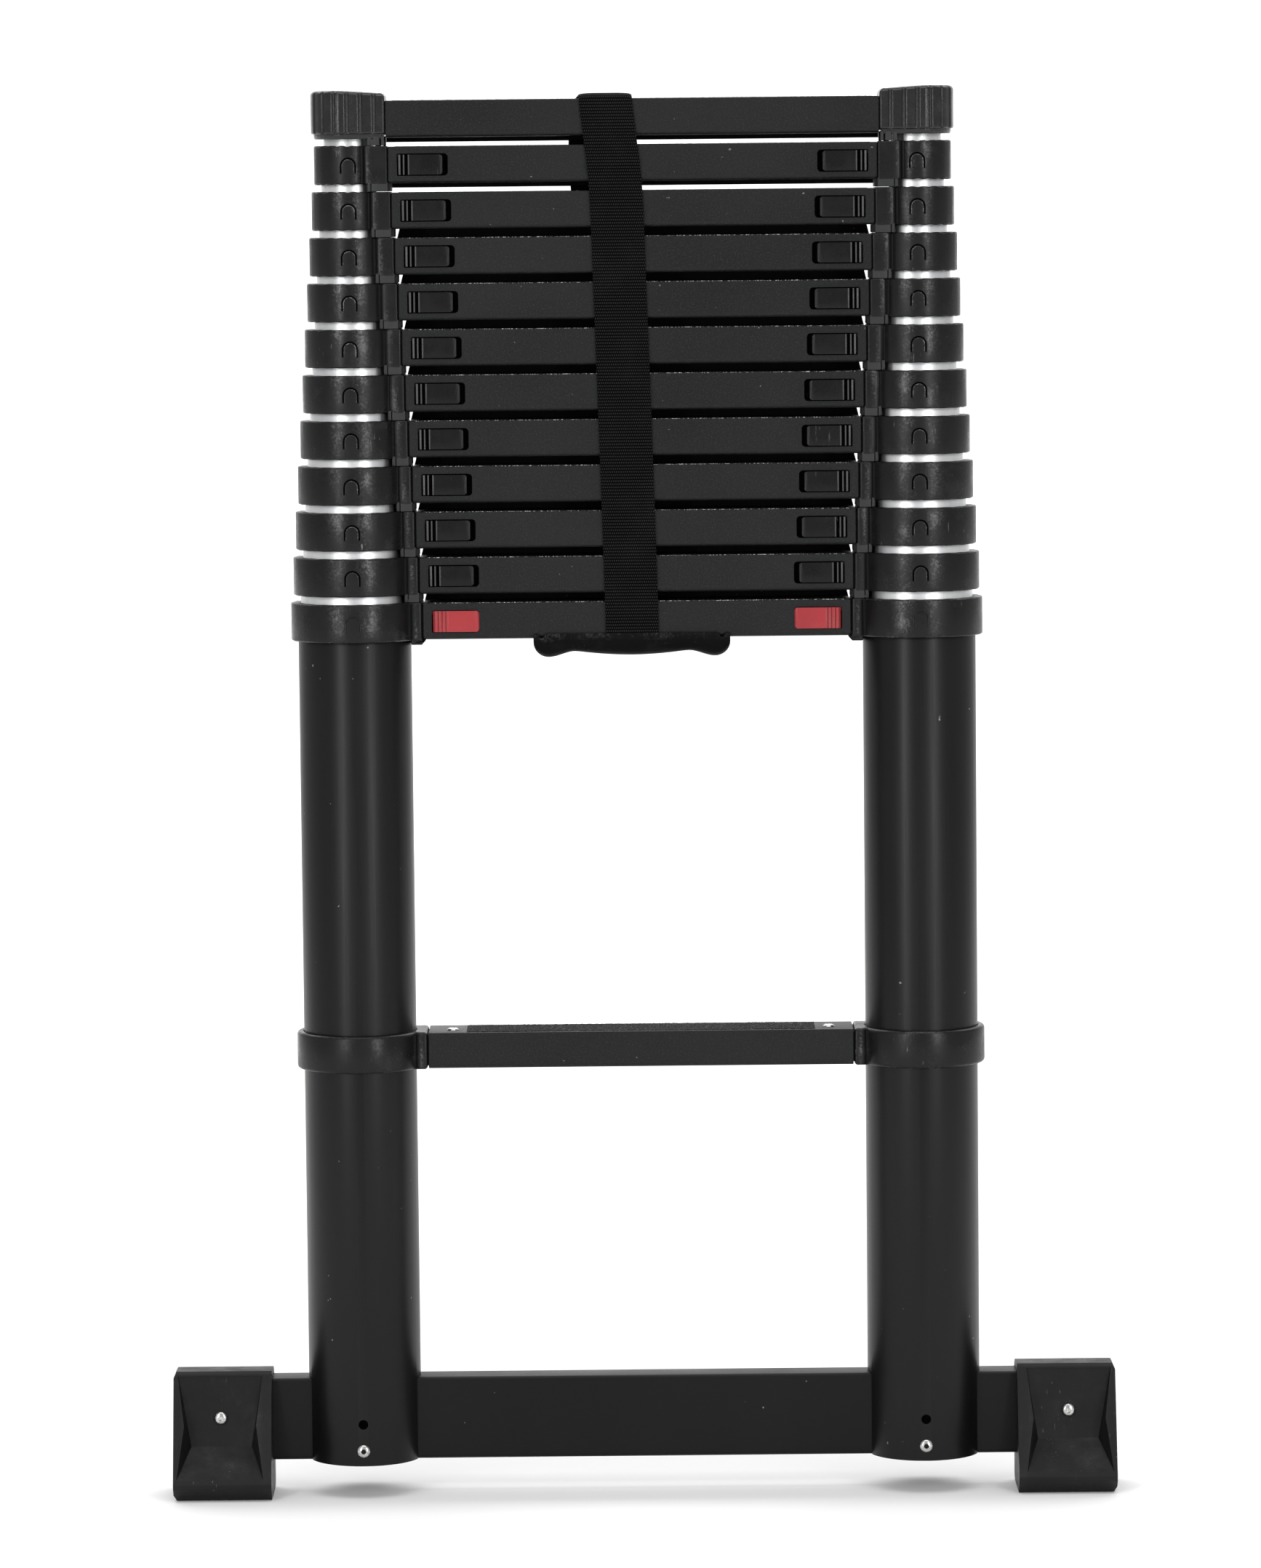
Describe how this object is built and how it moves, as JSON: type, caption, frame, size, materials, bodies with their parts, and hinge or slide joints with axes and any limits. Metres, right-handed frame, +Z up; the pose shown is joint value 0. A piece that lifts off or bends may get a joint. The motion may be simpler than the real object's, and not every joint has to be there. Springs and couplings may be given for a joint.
{
  "type": "telescopic extension ladder",
  "caption": "Telescopic ladder, stowed: nested tube pairs with a rung on each, thumb latches, a wide foot bar on two shoes and a closing strap.",
  "frame": {"origin": "centre of the footprint, on the floor", "axes": "+Z up along the tubes, +X along the rungs to the right as seen by the climber, -Y faces the climber"},
  "size_m": [0.638, 0.0854, 0.948],
  "materials": {
    "black_metal": "satin black powder coat",
    "moulding": "black rungs in fine powder coat, riveted to black moulded collars",
    "raw_aluminium": "bright drawn and anodised tube",
    "latch": "satin moulded nylon with ribs",
    "red_latch": "satin moulded red nylon with ribs",
    "shoe_rubber": "hard moulded rubber",
    "webbing": "ribbed woven black webbing"
  },
  "bodies": {
    "base": {"base_tube_left": "black_metal", "base_tube_right": "black_metal", "base_rung": "moulding", "lower_rung": "moulding", "stabiliser_bar": "black_metal", "shoe_left": "shoe_rubber", "shoe_right": "shoe_rubber", "carry_handle": "moulding"},
    "section_02": {"rung_02": "moulding", "tube_left_02": "raw_aluminium", "tube_right_02": "raw_aluminium"},
    "section_03": {"rung_03": "moulding", "tube_left_03": "raw_aluminium", "tube_right_03": "raw_aluminium"},
    "section_04": {"rung_04": "moulding", "tube_left_04": "raw_aluminium", "tube_right_04": "raw_aluminium"},
    "section_05": {"rung_05": "moulding", "tube_left_05": "raw_aluminium", "tube_right_05": "raw_aluminium"},
    "section_06": {"rung_06": "moulding", "tube_left_06": "raw_aluminium", "tube_right_06": "raw_aluminium"},
    "section_07": {"rung_07": "moulding", "tube_left_07": "raw_aluminium", "tube_right_07": "raw_aluminium"},
    "section_08": {"rung_08": "moulding", "tube_left_08": "raw_aluminium", "tube_right_08": "raw_aluminium"},
    "section_09": {"rung_09": "moulding", "tube_left_09": "raw_aluminium", "tube_right_09": "raw_aluminium"},
    "section_10": {"rung_10": "moulding", "tube_left_10": "raw_aluminium", "tube_right_10": "raw_aluminium"},
    "section_11": {"section_11_frame": "moulding"},
    "section_12": {"section_12_frame": "moulding"},
    "latch_left_01": {"latch_left_01": "red_latch"},
    "latch_right_01": {"latch_right_01": "red_latch"},
    "latch_left_02": {"latch_left_02": "latch"},
    "latch_right_02": {"latch_right_02": "latch"},
    "latch_left_03": {"latch_left_03": "latch"},
    "latch_right_03": {"latch_right_03": "latch"},
    "latch_left_04": {"latch_left_04": "latch"},
    "latch_right_04": {"latch_right_04": "latch"},
    "latch_left_05": {"latch_left_05": "latch"},
    "latch_right_05": {"latch_right_05": "latch"},
    "latch_left_06": {"latch_left_06": "latch"},
    "latch_right_06": {"latch_right_06": "latch"},
    "latch_left_07": {"latch_left_07": "latch"},
    "latch_right_07": {"latch_right_07": "latch"},
    "latch_left_08": {"latch_left_08": "latch"},
    "latch_right_08": {"latch_right_08": "latch"},
    "latch_left_09": {"latch_left_09": "latch"},
    "latch_right_09": {"latch_right_09": "latch"},
    "latch_left_10": {"latch_left_10": "latch"},
    "latch_right_10": {"latch_right_10": "latch"},
    "latch_left_11": {"latch_left_11": "latch"},
    "latch_right_11": {"latch_right_11": "latch"},
    "strap": {"strap": "webbing"}
  },
  "joints": [
    {"name": "extend_section_02", "type": "slide", "parent": "base", "child": "section_02", "axis": [0, 0, 1], "range_m": [0, 0.2595]},
    {"name": "extend_section_03", "type": "slide", "parent": "section_02", "child": "section_03", "axis": [0, 0, 1], "range_m": [0, 0.2595]},
    {"name": "extend_section_04", "type": "slide", "parent": "section_03", "child": "section_04", "axis": [0, 0, 1], "range_m": [0, 0.2595]},
    {"name": "extend_section_05", "type": "slide", "parent": "section_04", "child": "section_05", "axis": [0, 0, 1], "range_m": [0, 0.2595]},
    {"name": "extend_section_06", "type": "slide", "parent": "section_05", "child": "section_06", "axis": [0, 0, 1], "range_m": [0, 0.2595]},
    {"name": "extend_section_07", "type": "slide", "parent": "section_06", "child": "section_07", "axis": [0, 0, 1], "range_m": [0, 0.2595]},
    {"name": "extend_section_08", "type": "slide", "parent": "section_07", "child": "section_08", "axis": [0, 0, 1], "range_m": [0, 0.2595]},
    {"name": "extend_section_09", "type": "slide", "parent": "section_08", "child": "section_09", "axis": [0, 0, 1], "range_m": [0, 0.2595]},
    {"name": "extend_section_10", "type": "slide", "parent": "section_09", "child": "section_10", "axis": [0, 0, 1], "range_m": [0, 0.2595]},
    {"name": "extend_section_11", "type": "slide", "parent": "section_10", "child": "section_11", "axis": [0, 0, 1], "range_m": [0, 0.2595]},
    {"name": "extend_section_12", "type": "slide", "parent": "section_11", "child": "section_12", "axis": [0, 0, 1], "range_m": [0, 0.2595]},
    {"name": "press_latch_left_01", "type": "slide", "parent": "base", "child": "latch_left_01", "axis": [1, 0, 0], "range_m": [0, 0.0032], "stiffness_N_per_m": 250},
    {"name": "press_latch_right_01", "type": "slide", "parent": "base", "child": "latch_right_01", "axis": [-1, 0, 0], "range_m": [0, 0.0032], "stiffness_N_per_m": 250},
    {"name": "press_latch_left_02", "type": "slide", "parent": "section_02", "child": "latch_left_02", "axis": [1, 0, 0], "range_m": [0, 0.0032], "stiffness_N_per_m": 250},
    {"name": "press_latch_right_02", "type": "slide", "parent": "section_02", "child": "latch_right_02", "axis": [-1, 0, 0], "range_m": [0, 0.0032], "stiffness_N_per_m": 250},
    {"name": "press_latch_left_03", "type": "slide", "parent": "section_03", "child": "latch_left_03", "axis": [1, 0, 0], "range_m": [0, 0.0032], "stiffness_N_per_m": 250},
    {"name": "press_latch_right_03", "type": "slide", "parent": "section_03", "child": "latch_right_03", "axis": [-1, 0, 0], "range_m": [0, 0.0032], "stiffness_N_per_m": 250},
    {"name": "press_latch_left_04", "type": "slide", "parent": "section_04", "child": "latch_left_04", "axis": [1, 0, 0], "range_m": [0, 0.0032], "stiffness_N_per_m": 250},
    {"name": "press_latch_right_04", "type": "slide", "parent": "section_04", "child": "latch_right_04", "axis": [-1, 0, 0], "range_m": [0, 0.0032], "stiffness_N_per_m": 250},
    {"name": "press_latch_left_05", "type": "slide", "parent": "section_05", "child": "latch_left_05", "axis": [1, 0, 0], "range_m": [0, 0.0032], "stiffness_N_per_m": 250},
    {"name": "press_latch_right_05", "type": "slide", "parent": "section_05", "child": "latch_right_05", "axis": [-1, 0, 0], "range_m": [0, 0.0032], "stiffness_N_per_m": 250},
    {"name": "press_latch_left_06", "type": "slide", "parent": "section_06", "child": "latch_left_06", "axis": [1, 0, 0], "range_m": [0, 0.0032], "stiffness_N_per_m": 250},
    {"name": "press_latch_right_06", "type": "slide", "parent": "section_06", "child": "latch_right_06", "axis": [-1, 0, 0], "range_m": [0, 0.0032], "stiffness_N_per_m": 250},
    {"name": "press_latch_left_07", "type": "slide", "parent": "section_07", "child": "latch_left_07", "axis": [1, 0, 0], "range_m": [0, 0.0032], "stiffness_N_per_m": 250},
    {"name": "press_latch_right_07", "type": "slide", "parent": "section_07", "child": "latch_right_07", "axis": [-1, 0, 0], "range_m": [0, 0.0032], "stiffness_N_per_m": 250},
    {"name": "press_latch_left_08", "type": "slide", "parent": "section_08", "child": "latch_left_08", "axis": [1, 0, 0], "range_m": [0, 0.0032], "stiffness_N_per_m": 250},
    {"name": "press_latch_right_08", "type": "slide", "parent": "section_08", "child": "latch_right_08", "axis": [-1, 0, 0], "range_m": [0, 0.0032], "stiffness_N_per_m": 250},
    {"name": "press_latch_left_09", "type": "slide", "parent": "section_09", "child": "latch_left_09", "axis": [1, 0, 0], "range_m": [0, 0.0032], "stiffness_N_per_m": 250},
    {"name": "press_latch_right_09", "type": "slide", "parent": "section_09", "child": "latch_right_09", "axis": [-1, 0, 0], "range_m": [0, 0.0032], "stiffness_N_per_m": 250},
    {"name": "press_latch_left_10", "type": "slide", "parent": "section_10", "child": "latch_left_10", "axis": [1, 0, 0], "range_m": [0, 0.0032], "stiffness_N_per_m": 250},
    {"name": "press_latch_right_10", "type": "slide", "parent": "section_10", "child": "latch_right_10", "axis": [-1, 0, 0], "range_m": [0, 0.0032], "stiffness_N_per_m": 250},
    {"name": "press_latch_left_11", "type": "slide", "parent": "section_11", "child": "latch_left_11", "axis": [1, 0, 0], "range_m": [0, 0.0032], "stiffness_N_per_m": 250},
    {"name": "press_latch_right_11", "type": "slide", "parent": "section_11", "child": "latch_right_11", "axis": [-1, 0, 0], "range_m": [0, 0.0032], "stiffness_N_per_m": 250},
    {"name": "lift_strap_off", "type": "slide", "parent": "section_12", "child": "strap", "axis": [0, 0, 1], "range_m": [0, 0.42]}
  ]
}
